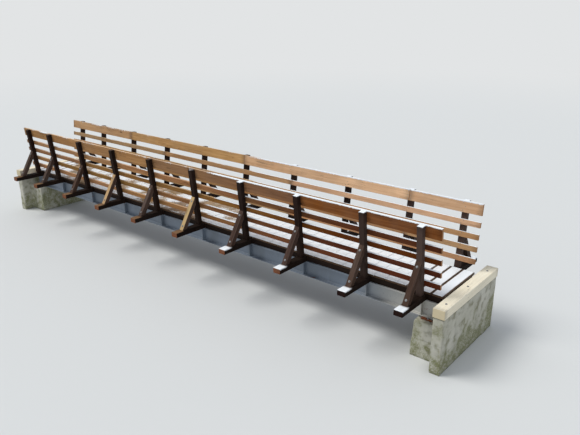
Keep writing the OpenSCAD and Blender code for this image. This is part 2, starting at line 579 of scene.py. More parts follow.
# %% [markdown]
# ## Wood grain
# A board is sawn out of round timber. Its growth rings are tubes about the heart, which lies
# beside or below the board. So the grain is worked out as the distance from a slightly wandering
# line, with a different line for each board. Faces then show long flames, and ends show arcs, as
# on real timber. Streaks and fibres follow the length.

# %% Board figure
HEART_ASIDE, WANDER = 0.08, 0.035
HEART_NEAREST, HEART_DEEPEST = 0.03, 0.14

board_figure, given, out = new_group(
    "board_figure",
    {"Ring width": 0.005, "Knots": 1.0, "Checks": 1.0},
    ("Rings", "Streaks", "Knot", "Check", "Relief"),
)
tree = board_figure
place = attribute(tree, "place")
along, across, through = split(tree, place)
chance_a, chance_b, chance_c = split(tree, attribute(tree, "board"))
seed = times(tree, chance_c, 80.0)

sideways = scaled(tree, chance_a, 2 * HEART_ASIDE, -HEART_ASIDE)
below = scaled(tree, chance_b, HEART_DEEPEST - HEART_NEAREST, HEART_NEAREST)
wander = noise(tree, stretch(tree, place, (0.9, 0.0, 0.0)), 1.0, 1.0, seed)
wander = scaled(tree, wander, 2 * WANDER, -WANDER)
ripple = noise(tree, stretch(tree, place, (2.5, 14.0, 14.0)), 1.0, 2.0, seed)
off_side = maths(tree, "ADD", maths(tree, "SUBTRACT", across, sideways), wander)
off_depth = maths(tree, "ADD", through, below)
radius = maths(tree, "POWER", off_side, 2.0)
radius = scaled(tree, off_depth, off_depth, radius)
radius = maths(tree, "POWER", radius, 0.5)
radius = scaled(tree, ripple, 0.012, radius)
turn = maths(tree, "FRACT", maths(tree, "DIVIDE", radius, given["Ring width"]))
late = maths(tree, "POWER", turn, 2.4)
late = times(tree, late, rise(tree, turn, 1.0, 0.9))

streaks = noise(tree, stretch(tree, place, (1.6, 30.0, 30.0)), 1.0, 4.0, seed)
streaks = rise(tree, streaks, 0.3, 0.72)
fibres = noise(tree, stretch(tree, place, (9.0, 420.0, 420.0)), 1.0, 2.0, seed)
print("rings and fibres:", len(tree.nodes), "nodes")

# %% [markdown]
# ## Knots and drying cracks
# A knot is a dark oval spot: the cells of a Voronoi pattern, pulled long, give one here and there.
# A crack opens along the fibres as the timber dries. It is the thin line where a long, stretched
# noise crosses its middle value, and a second noise takes it away in most places.

# %% Knots and cracks
KNOT_PULL, KNOT_EDGE = (1.9, 5.5, 5.5), (0.10, 0.065)
CRACK_PULL, CRACK_EDGE = (1.1, 46.0, 46.0), (0.012, 0.003)

cells = add_node(tree, "TexVoronoi", voronoi_dimensions="4D")
feed(tree, cells.inputs["Vector"], stretch(tree, place, KNOT_PULL))
feed(tree, cells.inputs["W"], seed)
feed(tree, cells.inputs["Scale"], 1.0)
knot = rise(tree, cells.outputs["Distance"], *KNOT_EDGE)
knot = times(tree, knot, given["Knots"])

crack = noise(tree, stretch(tree, place, CRACK_PULL), 1.0, 1.0, seed)
crack = maths(tree, "ABSOLUTE", maths(tree, "SUBTRACT", crack, 0.5))
crack = rise(tree, crack, *CRACK_EDGE)
some = noise(tree, stretch(tree, place, (1.7, 6.0, 6.0)), 1.0, 1.0, maths(tree, "ADD", seed, 7.0))
crack = times(tree, crack, rise(tree, some, 0.5, 0.62))
crack = times(tree, crack, given["Checks"])

relief = scaled(tree, fibres, 0.45, times(tree, late, 0.35))
relief = scaled(tree, crack, -1.6, relief)
relief = scaled(tree, knot, 0.3, relief)
for title, value in (("Rings", late), ("Streaks", streaks), ("Knot", knot),
                     ("Check", crack), ("Relief", relief)):
    feed(tree, out[title], value)
print("the whole board figure:", len(tree.nodes), "nodes")

# %% [markdown]
# ## Edges and ends of a timber
# Corners wear pale and round, and sawn ends draw in damp, so both need a mask. The marks on each
# timber give the distance from a point to the timber's faces. Near two faces at once is an edge,
# or arris, and near the last face along the length is an end. A noise makes both ragged.

# %% Edges and ends
ARRIS, RIM, END_FACE = (0.015, 0.007), (0.030, 0.018), (0.0055, 0.0035)
CHIPPED, RAGGED = 0.012, 0.09

edges_and_ends, given, out = new_group(
    "edges_and_ends", {"Reach": 0.11}, ("Arris", "Rim", "End", "Near end"))
tree = edges_and_ends
place = attribute(tree, "place")
size = add_node(tree, "VectorMath", operation="ABSOLUTE")
feed(tree, size.inputs[0], place)
inside = add_node(tree, "VectorMath", operation="SUBTRACT")
feed(tree, inside.inputs[0], attribute(tree, "half"))
feed(tree, inside.inputs[1], size.outputs[0])
from_end, from_side, from_face = split(tree, inside.outputs[0])
broken = noise(tree, stretch(tree, place, (18.0, 60.0, 60.0)), 1.0, 3.0)
corner = maths(tree, "MAXIMUM", from_side, from_face)
corner = scaled(tree, broken, CHIPPED, corner)
feed(tree, out["Arris"], rise(tree, corner, *ARRIS))
feed(tree, out["Rim"], rise(tree, corner, *RIM))
feed(tree, out["End"], rise(tree, from_end, *END_FACE))
soaked = scaled(tree, broken, RAGGED, from_end)
feed(tree, out["Near end"], rise(tree, soaked, maths(tree, "ADD", given["Reach"], 0.05), 0.05))
print("edges and ends:", len(tree.nodes), "nodes")

# %% [markdown]
# ## Frost
# A thin crust of frost lies on whatever faces up. The mask comes from the direction of the
# surface, broken up by two sizes of noise, and it thins where the cover is set lower. It hangs a
# little over the edge of the highest faces. Less of it lies on the sheltered left half. The crust
# also has a grain of its own, which goes to the bump.

# %% Frost
LIP, LIP_SOFTNESS = 0.018, 0.008
CRUMB_SCALE, GRAIN_SCALE = 38.0, 420.0
SHELTER_FROM, SHELTER_TO = 2.1, 0.7

frost, given, out = new_group(
    "frost",
    {"Cover": 0.5, "Patch size": 0.5, "Sheltered": 0.0, "Top": RAIL_TOP},
    ("Mask", "Height"),
)
tree = frost
spot = on_object(tree)
at_x, _, at_z = split(tree, spot)
facing = split(tree, add_node(tree, "NewGeometry").outputs["Normal"])[2]
patches = noise(tree, spot, maths(tree, "DIVIDE", 1.0, given["Patch size"]), 3.0)
crumbs = noise(tree, spot, CRUMB_SCALE, 3.0, 4.0)
grains = noise(tree, spot, GRAIN_SCALE, 1.0, 9.0)
amount = scaled(tree, crumbs, 0.35, patches)
amount = maths(tree, "ADD", amount, scaled(tree, given["Cover"], 1.3, -1.3))
sheltered = times(tree, given["Sheltered"], rise(tree, at_x, SHELTER_FROM, SHELTER_TO))
amount = maths(tree, "SUBTRACT", amount, sheltered)
mask = rise(tree, amount, -0.02, 0.12)
lip = maths(tree, "SUBTRACT", scaled(tree, crumbs, 0.024, at_z), given["Top"])
lip = rise(tree, lip, LIP_SOFTNESS - LIP, 2 * LIP_SOFTNESS - LIP)
upward = maths(tree, "MAXIMUM", lip, rise(tree, facing, 0.45, 0.8))
mask = times(tree, mask, upward)
feed(tree, out["Mask"], mask)
feed(tree, out["Height"], times(tree, mask, scaled(tree, grains, 0.5, 0.7)))
print("frost:", len(frost.nodes), "nodes")

# %% [markdown]
# ## Blotches and runs
# Old surfaces are never one colour. Three noises serve timber, steel and concrete alike: wide
# blotches, runs that follow the rain down, and fine specks.

# %% Blotches and runs
blotches, given, out = new_group("blotches", {"Size": 0.9}, ("Blotch", "Run", "Speck"))
tree = blotches
spot = on_object(tree)
feed(tree, out["Blotch"], noise(tree, spot, maths(tree, "DIVIDE", 1.0, given["Size"]), 4.0, 2.0))
feed(tree, out["Run"], noise(tree, stretch(tree, spot, (4.3, 4.3, 0.5)), 1.0, 5.0, 5.0))
feed(tree, out["Speck"], noise(tree, spot, 55.0, 3.0, 6.0))
print("blotches:", len(blotches.nodes), "nodes")

# %% [markdown]
# ## The walkway's side
# The rails look different on the side of the walkway. A face belongs to that side if it points
# towards the middle line of the bridge. A second mask tells which faces point up.

# %% The walkway's side
walkway_side, _, out = new_group("walkway_side", {}, ("Inner", "Up"))
tree = walkway_side
geometry = add_node(tree, "NewGeometry")
to_side = maths(tree, "SIGN", split(tree, geometry.outputs["Position"])[1])
facing = split(tree, geometry.outputs["Normal"])
inner = times(tree, times(tree, facing[1], to_side), -1.0)
feed(tree, out["Inner"], rise(tree, inner, 0.3, 0.8))
feed(tree, out["Up"], rise(tree, facing[2], 0.15, 0.45))
print("walkway's side:", len(walkway_side.nodes), "nodes")

# %% [markdown]
# ## The rails' colours
# The rails aren't of one colour. The walkway's side is paler than the outer side: it is rubbed
# clean, and its paler tone also paints the light that the frosted deck throws on it. Outside, the
# slats below the top board are painted dark as shade, and inside, the lower slats are painted
# darker as shade. The sheltered left half keeps more of its orange stain, and the faces that point
# up are painted paler as highlight. Each of these is a mask by place or direction, so the boards
# change gently along the rail.

# %% The rails' colours
# Painted shade on the outer slats, from this far below the rail top
SLAT_SHADE_FROM, SLAT_SHADE_TO = RAIL_TOP - 0.19, RAIL_TOP - 0.26
# Painted shade on the lower slats of the walkway's side, over this height
INNER_SHADE_FROM, INNER_SHADE_TO = RAIL_TOP - 0.05, RAIL_TOP - 0.75
STAIN_FROM, STAIN_TO = 4.4, -0.8
# The colour of the painted shade on the outer slats
PAINTED_SLAT_SHADE = tint(72, 22, 2)
# The colour of the painted shade on the walkway's side
PAINTED_INNER_SHADE = tint(120, 90, 68)
# Painted highlight on the faces that point up
PAINTED_TOP_HIGHLIGHT = tint(226, 192, 156)
STAIN_KEPT = (tint(178, 136, 92), tint(134, 94, 58))


def rail_colours(tree, rings, outer, inner, side, at_x, at_z):
    """The colour of the rails, and a mask of where no shade is painted on them"""
    # Painted shade on the outer slats below the top board, kept off the walkway's side
    slat_shade = times(tree, rise(tree, at_z, SLAT_SHADE_FROM, SLAT_SHADE_TO), 0.78)
    slat_shade = times(tree, slat_shade, left_by(tree, side["Inner"]))
    outside = blend(tree, slat_shade, blend(tree, rings, *outer), PAINTED_SLAT_SHADE)
    # The walkway's side: rubbed paler, and painted paler still as light reflected from the frosted
    # deck
    inside = blend(tree, rings, *inner)
    # The lower slats on the walkway's side are painted darker as shade
    inside = tinge(tree, inside, rise(tree, at_z, INNER_SHADE_FROM, INNER_SHADE_TO), 0.65, PAINTED_INNER_SHADE)
    colour = blend(tree, side["Inner"], outside, inside)
    kept = scaled(tree, side["Inner"], -0.25, 0.8)
    kept = times(tree, kept, rise(tree, at_x, STAIN_FROM, STAIN_TO))
    colour = blend(tree, kept, colour, blend(tree, rings, *STAIN_KEPT))
    # Faces that point up are painted paler as highlight
    return tinge(tree, colour, side["Up"], 0.6, PAINTED_TOP_HIGHLIGHT), left_by(tree, slat_shade)


print("the stain is kept from x", STAIN_FROM, "to", STAIN_TO)

# %% [markdown]
# ## Weathering
# No two timbers have the same wood, so each one's random numbers shift its hue, its strength
# and its lightness a little. Sun and rain then turn it grey in blotches and runs, first along its
# corners. The posts at the open right end have turned grey all over.

# %% Weathering
OPEN_FROM, OPEN_TO = 3.4, 5.2


def own_tone(tree, colour, draws):
    """Shifts a colour by the three random numbers of each timber"""
    vary = add_node(tree, "HueSaturation")
    feed(tree, vary.inputs["Hue"], scaled(tree, draws[1], 0.016, 0.493))
    feed(tree, vary.inputs["Saturation"], scaled(tree, draws[2], 0.2, 0.97))
    feed(tree, vary.inputs["Value"], scaled(tree, draws[0], 0.42, 0.78))
    feed(tree, vary.inputs["Color"], colour)
    return vary.outputs[0]


def weathered(tree, colour, grey, greyness, unshaded, corners, at_x, open_end):
    """Turns a timber grey in patches, along its corners and at the open end"""
    stain = use(tree, blotches)
    weather = scaled(tree, stain["Run"], 0.5, stain["Blotch"])
    weather = maths(tree, "MAXIMUM", rise(tree, weather, 0.62, 1.0), corners)
    # Where shade is painted on the rail slats, the grey is kept off
    weather = times(tree, times(tree, weather, greyness), unshaded)
    if open_end:
        exposed = times(tree, rise(tree, at_x, OPEN_FROM, OPEN_TO), open_end)
        weather = maths(tree, "MAXIMUM", weather, exposed)
    return blend(tree, weather, colour, grey)


print("the open end starts at x", OPEN_FROM)

# %% [markdown]
# ## Knots, cracks and sawn ends
# Knots and cracks are dark. A sawn end draws in damp, which darkens the timber beside it. The end
# faces have a tone of their own, and those of the outriggers nearest the right end are wet.

# %% Knots, cracks and sawn ends
CRACK_TONE = tint(30, 22, 18)
WET_END_FROM, WET_END_TO = 2.8, 3.9


def with_ends(tree, colour, figure, ends, end_tone, wet_end, at_x):
    """Adds the knots, the soaked and sawn ends, and the cracks"""
    colour = tinge(tree, colour, figure["Knot"], 0.75, CRACK_TONE)
    colour = tinge(tree, colour, ends["Near end"], 0.3, CRACK_TONE)
    if wet_end:
        end_tone = blend(tree, rise(tree, at_x, WET_END_FROM, WET_END_TO), end_tone, wet_end)
    colour = blend(tree, ends["End"], colour, end_tone)
    return tinge(tree, colour, figure["Check"], 0.85, CRACK_TONE)


print("wet end faces from x", WET_END_FROM)

# %% [markdown]
# ## Frost on timber
# The frost comes last, over the finished wood. It keeps off upright end faces. Near the ends of
# the deck it is trodden off the rims of the planks, so that they look dark. On the outriggers it
# lies only on the tips outside the braces, where the timber has bleached.

# %% Frost on timber
FROST_TONE = tint(244, 249, 254)
TRODDEN_TONE = tint(62, 46, 40)
BLEACHED = tint(134, 104, 76)
TRODDEN_LENGTH = 0.25


def frosted(tree, colour, height, rough, ends, side, at_x, cover, patch, top, sheltered,
            trodden, frost_from):
    """Lays the frost on a timber, and takes it away where it is trodden or sheltered"""
    crust = use(tree, frost, **{"Cover": cover, "Patch size": patch, "Sheltered": sheltered,
                                "Top": top})
    clear = left_by(tree, times(tree, ends["End"], left_by(tree, side["Up"])))
    if trodden:
        walked = rise(tree, maths(tree, "ABSOLUTE", at_x), trodden, trodden + TRODDEN_LENGTH)
        worn = times(tree, ends["Rim"], walked)
        colour = tinge(tree, colour, worn, 0.8, TRODDEN_TONE)
        clear = times(tree, clear, left_by(tree, worn))
    if frost_from:
        tip = maths(tree, "ABSOLUTE", split(tree, attribute(tree, "place"))[0])
        tip = rise(tree, tip, frost_from - 0.05, frost_from + 0.03)
        colour = tinge(tree, colour, times(tree, tip, side["Up"]), 0.8, BLEACHED)
        clear = times(tree, clear, tip)
    mask = times(tree, crust["Mask"], clear)
    colour = blend(tree, mask, colour, FROST_TONE)
    height = scaled(tree, times(tree, crust["Height"], clear), 1.6, height)
    return colour, height, scaled(tree, mask, -0.12, rough)


print("trodden planks lose their frost within", TRODDEN_LENGTH, "m")

# %% [markdown]
# ## One recipe for all timber
# All timbers share one recipe, which goes from the rings to the frost in the order in which the
# real timber got its looks. What differs is only the colours and how strong each step is.

# %% Timber recipe
def timber_finish(name, spring, late, grey, end_tone, inner=None, greyness=0.3, cover=0.0,
                  patch=0.5, top=RAIL_TOP, knots=1.0, frost_from=0.0, sheltered=0.0, trodden=0.0,
                  checks=1.0, open_end=0.0, wet_end=None, fresh_lit_top=None, roughness=0.78):
    """A timber's material, from its four tones and the strength of each step"""
    made, tree, shader = new_material(name)
    figure = use(tree, board_figure, Knots=knots, Checks=checks)
    ends = use(tree, edges_and_ends)
    side = use(tree, walkway_side)
    draws = split(tree, attribute(tree, "board"))
    at_x, _, at_z = split(tree, on_object(tree))

    rings = scaled(tree, figure["Rings"], 0.55, times(tree, figure["Streaks"], 0.5))
    if inner:
        colour, unshaded = rail_colours(tree, rings, (spring, late), inner, side, at_x, at_z)
    else:
        colour, unshaded = blend(tree, rings, spring, late), 1.0
    # Newer braces: their faces that point up are painted paler as light from the sky
    if fresh_lit_top:
        newer_lit_top = times(tree, rise(tree, draws[0], 0.90, 0.97), side["Up"])
        colour = blend(tree, newer_lit_top, colour, fresh_lit_top)
    colour = own_tone(tree, colour, draws)
    colour = weathered(tree, colour, grey, greyness, unshaded, ends["Arris"], at_x, open_end)
    colour = with_ends(tree, colour, figure, ends, end_tone, wet_end, at_x)

    height = figure["Relief"]
    rough = scaled(tree, figure["Streaks"], 0.12, roughness - 0.06)
    if cover:
        colour, height, rough = frosted(tree, colour, height, rough, ends, side, at_x, cover,
                                        patch, top, sheltered, trodden, frost_from)
    give_surface(tree, shader, colour, rough, height, 0.0012)
    feed(tree, shader["Specular IOR Level"], 0.1)
    return made


print("timber recipe ready")

# %% [markdown]
# ## One finish for each kind of timber
# The four tones of each are for pale rings, dark rings, weathered grey and end faces. The posts
# and floor beams were soaked in a dark preservative, the rails are stained, and the deck and the
# sills are bare. Only the braces have some newer ones among them, whose faces that point up are
# painted paler as the light of the sky on them.

# %% Timber finishes
# The rails' inner tones are paler partly as painted light reflected from the frosted deck
rail_timber = timber_finish(
    "rail_timber", tint(142, 96, 64), tint(92, 52, 30), tint(122, 104, 90), tint(168, 126, 90),
    inner=(tint(244, 204, 162), tint(204, 156, 114)), greyness=0.25, cover=0.95, patch=0.7,
    sheltered=0.64)
post_timber = timber_finish(
    "post_timber", tint(38, 24, 18), tint(20, 12, 8), tint(92, 75, 68), tint(70, 54, 44),
    greyness=0.2, cover=0.95, patch=0.4, knots=0.6, sheltered=0.72, open_end=0.7)
brace_timber = timber_finish(
    "brace_timber", tint(88, 69, 61), tint(48, 35, 30), tint(110, 99, 92), tint(92, 72, 58),
    greyness=0.4, knots=0.6, fresh_lit_top=tint(174, 143, 102), roughness=0.7)
beam_timber = timber_finish(
    "beam_timber", tint(34, 23, 18), tint(21, 14, 11), tint(56, 48, 43), tint(124, 80, 56),
    greyness=0.2, cover=1.0, patch=0.4, top=BEAM_TOP, knots=0.6, frost_from=1.07, sheltered=1.7,
    wet_end=tint(34, 16, 10))
deck_timber = timber_finish(
    "deck_timber", tint(176, 152, 124), tint(128, 102, 78), tint(160, 152, 142), tint(86, 66, 50),
    greyness=0.6, cover=1.0, patch=0.6, top=DECK_TOP, sheltered=0.58, trodden=4.75)
sill_timber = timber_finish(
    "sill_timber", tint(246, 238, 218), tint(232, 220, 194), tint(214, 208, 196),
    tint(206, 192, 160), greyness=0.25, knots=0.5, checks=0.3)
print("timber finishes for rails, posts, braces, floor beams, deck and sills")

# %% [markdown]
# ## Rust
# Steel rusts where its paint has chipped. Rust gathers in patches with a ragged rim, so its mask is
# a noise with much detail, cut off sharply. It swells as it grows, so it also gives a height.

# %% Rust
RUST_TONES = (tint(74, 40, 26), tint(150, 86, 48))

rust, given, out = new_group("rust", {"Amount": 0.3}, ("Mask", "Tone", "Height"))
tree = rust
spot = on_object(tree)
spots = noise(tree, spot, 6.0, 8.0, 3.0)
level = scaled(tree, given["Amount"], -0.35, 0.74)
feed(tree, out["Mask"], rise(tree, spots, level, maths(tree, "ADD", level, 0.05)))
tone = noise(tree, spot, 90.0, 4.0, 8.0)
feed(tree, out["Tone"], tone)
feed(tree, out["Height"], times(tree, tone, rise(tree, spots, level, 0.8)))
print("rust:", len(rust.nodes), "nodes")

# %% [markdown]
# ## Painted steel
# The girders wear a dull blue-grey paint, which has faded in runs and specks. Towards the right
# end the girders are painted paler, as light reflected up from pale ground below. The bearing
# plates are greyer and rustier. Both are one recipe: a paint, the same paint worn, and an amount
# of rust over them.

# %% Painted steel
# Where the painted reflected light on the girders starts and where it is full
BOUNCE_FROM, BOUNCE_TO = 3.9, 5.1


def steel_finish(name, paint, worn, amount, roughness, bounce_light=None):
    """Painted steel, with its worn paint, its amount of rust, and a painted reflected light towards
    the right end
    """
    made, tree, shader = new_material(name)
    rusty = use(tree, rust, Amount=amount)
    stain = use(tree, blotches, Size=0.6)
    shade = scaled(tree, stain["Run"], 0.6, times(tree, stain["Blotch"], 0.6))
    colour = blend(tree, rise(tree, shade, 0.35, 0.85), paint, worn)
    if bounce_light:
        # Painted reflected light, paler towards the right end
        bounce_share = rise(tree, split(tree, on_object(tree))[0], BOUNCE_FROM, BOUNCE_TO)
        colour = tinge(tree, colour, bounce_share, 0.8, bounce_light)
    colour = blend(tree, rise(tree, stain["Speck"], 0.60, 0.75), colour, worn)
    colour = blend(tree, rusty["Mask"], colour, blend(tree, rusty["Tone"], *RUST_TONES))
    rough = scaled(tree, rusty["Mask"], 0.35, roughness)
    height = scaled(tree, stain["Speck"], 0.15, rusty["Height"])
    give_surface(tree, shader, colour, rough, height, 0.0008)
    return made


girder_paint = steel_finish(
    "girder_paint", tint(122, 133, 147), tint(98, 107, 117), 0.25, 0.48, tint(196, 193, 184))
bearing_paint = steel_finish("bearing_paint", tint(96, 98, 98), tint(76, 74, 72), 0.75, 0.6)
print("painted steel:", girder_paint.name, bearing_paint.name)

# %% [markdown]
# ## Galvanised steel
# Bolts, nuts and screws are dipped in zinc, which turns a dull grey outdoors. A very fine mottle
# is enough, because each of them is only a few centimetres wide.

# %% Galvanised steel
ZINC_TONES = (tint(118, 119, 120), tint(158, 160, 162))

galvanised, tree, shader = new_material("galvanised")
stain = use(tree, blotches, Size=0.02)
feed(tree, shader["Base Color"], blend(tree, stain["Speck"], *ZINC_TONES))
feed(tree, shader["Metallic"], 0.6)
feed(tree, shader["Roughness"], scaled(tree, stain["Blotch"], 0.25, 0.42))
print("galvanised steel:", len(tree.nodes), "nodes")

# %% [markdown]
# ## Marks in the concrete
# The concrete was poured against boards, and faint lines still show where two of them met. It also
# has small holes, where air was caught, and lumps. The lines are on the upright faces only, and
# run out in places.

# %% Marks in the concrete
FORM_BOARD = 0.15
PIT_SCALE, LUMP_SCALE = 34.0, 9.0

concrete, tree, shader = new_material("concrete")
spot = on_object(tree)
stain = use(tree, blotches, Size=0.7)
height_up = split(tree, spot)[2]
joint = maths(tree, "FRACT", maths(tree, "DIVIDE", height_up, FORM_BOARD))
joint = maths(tree, "ABSOLUTE", maths(tree, "SUBTRACT", joint, 0.5))
joint = rise(tree, joint, 0.475, 0.495)
joint = times(tree, joint, rise(tree, stain["Blotch"], 0.6, 0.4))
upright = maths(tree, "ABSOLUTE", split(tree, add_node(tree, "NewGeometry").outputs["Normal"])[2])
joint = times(tree, joint, rise(tree, upright, 0.5, 0.3))
pits = add_node(tree, "TexVoronoi")
feed(tree, pits.inputs["Vector"], spot)
feed(tree, pits.inputs["Scale"], PIT_SCALE)
pit = rise(tree, pits.outputs["Distance"], 0.16, 0.08)
pit = times(tree, pit, rise(tree, stain["Blotch"], 0.5, 0.6))
lumps = noise(tree, spot, LUMP_SCALE, 4.0, 12.0)
print("marks in the concrete:", len(tree.nodes), "nodes")

# %% [markdown]
# ## Colours of the concrete
# The pale skin has weathered in blotches and runs, and green stains of damp grow towards the foot.
# The lines, holes and lumps go to the bump as well as to the colour, so that light and tone agree.

# %% Colours of the concrete
POURED, WEATHERED = tint(200, 198, 186), tint(170, 168, 152)
DAMP, LINE, HOLE = tint(112, 116, 66), tint(84, 82, 72), tint(60, 58, 50)

colour = blend(tree, rise(tree, stain["Blotch"], 0.3, 0.7), POURED, WEATHERED)
colour = blend(tree, rise(tree, lumps, 0.45, 0.7), colour, tint(146, 143, 126))
colour = tinge(tree, colour, rise(tree, stain["Run"], 0.5, 0.8), 0.5, tint(124, 122, 106))
damp = scaled(tree, height_up, -0.4, stain["Blotch"])
damp = scaled(tree, lumps, 0.6, damp)
damp = times(tree, rise(tree, damp, 0.52, 0.8), rise(tree, stain["Speck"], 0.35, 0.55))
for mask, share, tone in ((damp, 0.8, DAMP), (joint, 0.3, LINE), (pit, 0.6, HOLE)):
    colour = tinge(tree, colour, mask, share, tone)
relief = scaled(tree, joint, -0.5, stain["Speck"])
relief = scaled(tree, lumps, 1.5, relief)
relief = scaled(tree, pit, -1.0, relief)
give_surface(tree, shader, colour, scaled(tree, stain["Speck"], 0.15, 0.8), relief, 0.006)
print("materials so far:", len(bpy.data.materials))

# %% [markdown]
# ## Steelwork
# The girders, the channels between them and the bearing plates are rolled and cut steel with
# crisp edges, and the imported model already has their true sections. They only take their paint.

# %% Steelwork
for name, finish in (("front_girder", girder_paint), ("back_girder", girder_paint),
                     ("cross_frames", girder_paint), ("bearing_plates", bearing_paint)):
    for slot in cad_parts[name].material_slots:
        slot.material = finish
print("painted the steel")

# %% [markdown]
# ## Floor beams
# The floor beams carry the deck, and their ends stand out past the rails as outriggers for the
# braces. Every one is the same length of timber laid flat, so one is modelled and copied. A copy
# may be turned end for end, which keeps its size but moves its hollows.

# %% Floor beams
for i in range(POSTS):
    low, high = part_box(f"floor_beam_{i + 1}")
    size = high - low
    master = stock((size.y, size.x, size.z), ease=FRAME_EASE)
    beam = grown(put(master, (low + high) / 2, Y * dice.choice((-1, 1)), X))
    node = f"floor_beam_{i + 1}"
    gather("sawn_" + node, [beam], beam_timber, "beam_timber", node)
print("floor beams:", POSTS)

# %% [markdown]
# ## A leaned post
# The posts lean outward with the rails, so that the walkway is wider at the hand than at the foot.
# A post is modelled too long, leaned, and its foot is sawn off level by a bisecting plane with the
# cut filled. Its top stays square. It is made once for the front, with the origin at its outer
# foot.

# %% A leaned post
SPARE = 0.02
SAW_CUT = 0.0005


def cut_off(piece, point, direction):
    """Saws away what lies beyond a plane and closes the cut"""
    activate(piece)
    start_edit("FACE")
    bpy.ops.mesh.select_all(action="SELECT")
    bpy.ops.mesh.bisect(plane_co=point, plane_no=direction, use_fill=True, clear_outer=True)
    end_edit()


def rail_ways(sign):
    """The direction up a leaned rail, and the one out through its boards"""
    lean_y, lean_z = math.sin(RAIL_LEAN), math.cos(RAIL_LEAN)
    return Vector((0, sign * lean_y, lean_z)), Vector((0, sign * lean_z, -lean_y))


up_post, out_of_post = rail_ways(-1)
post_rise = (post_boxes["front"][0][1].z - BEAM_TOP) / up_post.z
post_top = post_rise - POST_WIDTH / 2 * math.tan(RAIL_LEAN)
middle = Vector((0, POST_FOOT / 2, 0)) + up_post * (post_top - SPARE) / 2
timber = stock((post_top + SPARE, POST_WIDTH, POST_WIDTH), ease=FRAME_EASE)
rough_post = put(timber, middle, up_post, X)
cut_off(rough_post, (0, 0, SAW_CUT), -Z)
print("a post is", round(post_rise, 3), "m long along its outer edge")

# %% [markdown]
# ## A knee brace
# A brace runs from the outer part of the floor beam up to the middle of the post. Both of its ends
# are sawn at a slant, so that its foot lies flat on the floor beam and its head lies flat against
# the leaned post. So it is laid along the slope, too long, and both cuts are made in place.

# %% A knee brace
low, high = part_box("front_braces")
outer_foot = Y * (low.y - outer_foot_y["front"])
outer_head = up_post * ((high.z - low.z) / up_post.z)
slope = (outer_head - outer_foot).normalized()
inward = Vector((0, slope.z, -slope.y))
slope_length = (outer_head - outer_foot).length
middle = (outer_foot + outer_head) / 2 + inward * POST_WIDTH / 2
rough_brace = put(stock((slope_length + 2 * POST_WIDTH, POST_WIDTH, POST_WIDTH)), middle, slope, X)
cut_off(rough_brace, (0, 0, SAW_CUT), -Z)
cut_off(rough_brace, out_of_post * SAW_CUT, -out_of_post)
print("a brace is", round(slope_length, 3), "m long along its outer face")

# %% [markdown]
# ## Posts and braces in place
# Both are copied to every floor beam, and the copies on the back are turned half round. The
# braces of the fourth and sixth front posts were renewed and are lighter, and the one between
# them is half way there; their faces that point up are also painted paler as light from the sky.
# All others get an older tone by chance.

# %% Posts and braces in place
NEWER = {4: 1.0, 5: 0.6, 6: 1.0}
OLD_TONE = 0.7
for side, sign in SIDES.items():
    braces = []
    for i, place in enumerate(POST_X):
        foot = (place, outer_foot_y[side], BEAM_TOP)
        post = put(rough_post, foot, X * -sign, Y * -sign)
        name = f"{side}_post_{i + 1}"
        gather("sawn_" + name, [grown(post)], post_timber, "post_timber", name)
        tone = NEWER[i + 1] if sign < 0 and i + 1 in NEWER else OLD_TONE * dice.random()
        brace = put(rough_brace, foot, X * -sign, Y * -sign)
        braces.append(grown(brace, tone))
    gather(f"sawn_{side}_braces", braces, brace_timber, "brace_timber", f"{side}_braces")
print("posts and braces on a side:", POSTS)

# %% [markdown]
# ## Rail boards and nailers
# The rails are boards of a few lengths that meet on the posts. Each is copied from the board of
# its own size, and may be turned over or end for end. A leaned board's box is wider and higher
# than its section, so the section is worked out from the lean. The nailers lie level, and their
# near-black finish also paints the shade under the deck.

# %% Rail boards and nailers
def section(size, across):
    """Width and thickness of a board, from the size of its box and the direction across it"""
    steep, flat = abs(across.z), abs(across.y)
    share = steep ** 2 - flat ** 2
    return (size.z * steep - size.y * flat) / share, (size.y * steep - size.z * flat) / share


def lay_boards(name, node, material, slot, across):
    """Lays a sawn timber along X in each solid of a node"""
    boards = []
    for low, high in solid_boxes(node):
        size = high - low
        flip, over = dice.choice((-1, 1)), dice.choice((-1, 1))
        master = stock((size.x, *section(size, across)))
        boards.append(grown(put(master, (low + high) / 2, X * flip, across * over)))
    return gather(name, boards, material, slot, node)


for side, sign in SIDES.items():
    up_rail = rail_ways(sign)[0]
    lay_boards(f"{side}_top_boards", f"{side}_top_rail", rail_timber, "rail_timber", up_rail)
    lay_boards(f"{side}_slat_boards", f"{side}_slats", rail_timber, "rail_timber", up_rail)
# The nailers' near-black finish also stands for painted shade under the deck
lay_boards("nailer_timbers", "nailers", beam_timber, "beam_timber", Y)
print("sizes of timber kept so far:", len(masters))

# %% [markdown]
# ## Deck planks
# The planks are laid by eye: each one is a little askew, a little out of line, and a little lower
# than it could be. The amounts are drawn by chance and stay small, because planks that are screwed
# down can't move far.

# %% Deck planks
ASKEW, OUT_OF_LINE, LOWER, TRIM = 0.12, 0.0025, 0.0015, 0.003
planks = []
for low, high in solid_boxes("deck_planks"):
    size = high - low
    askew = math.radians(dice.uniform(-ASKEW, ASKEW))
    shift = Vector((0, dice.uniform(-OUT_OF_LINE, OUT_OF_LINE), -dice.uniform(0, LOWER)))
    way = Vector((math.sin(askew), math.cos(askew), 0)) * dice.choice((-1, 1))
    master = stock((size.y - TRIM, size.x, size.z))
    planks.append(grown(put(master, (low + high) / 2 + shift, way, way.cross(Z) * -1)))
gather("laid_planks", planks, deck_timber, "deck_timber", "deck_planks")
print("planks", len(planks))

# %% [markdown]
# ## End sills
# A pale, thick sill lies on each backwall, past a narrow gap at the end of the deck. It is a sawn
# timber like the rest, so the same function makes it, but its edges are worn rounder and so get a
# wider bevel. Both sills have one tone.

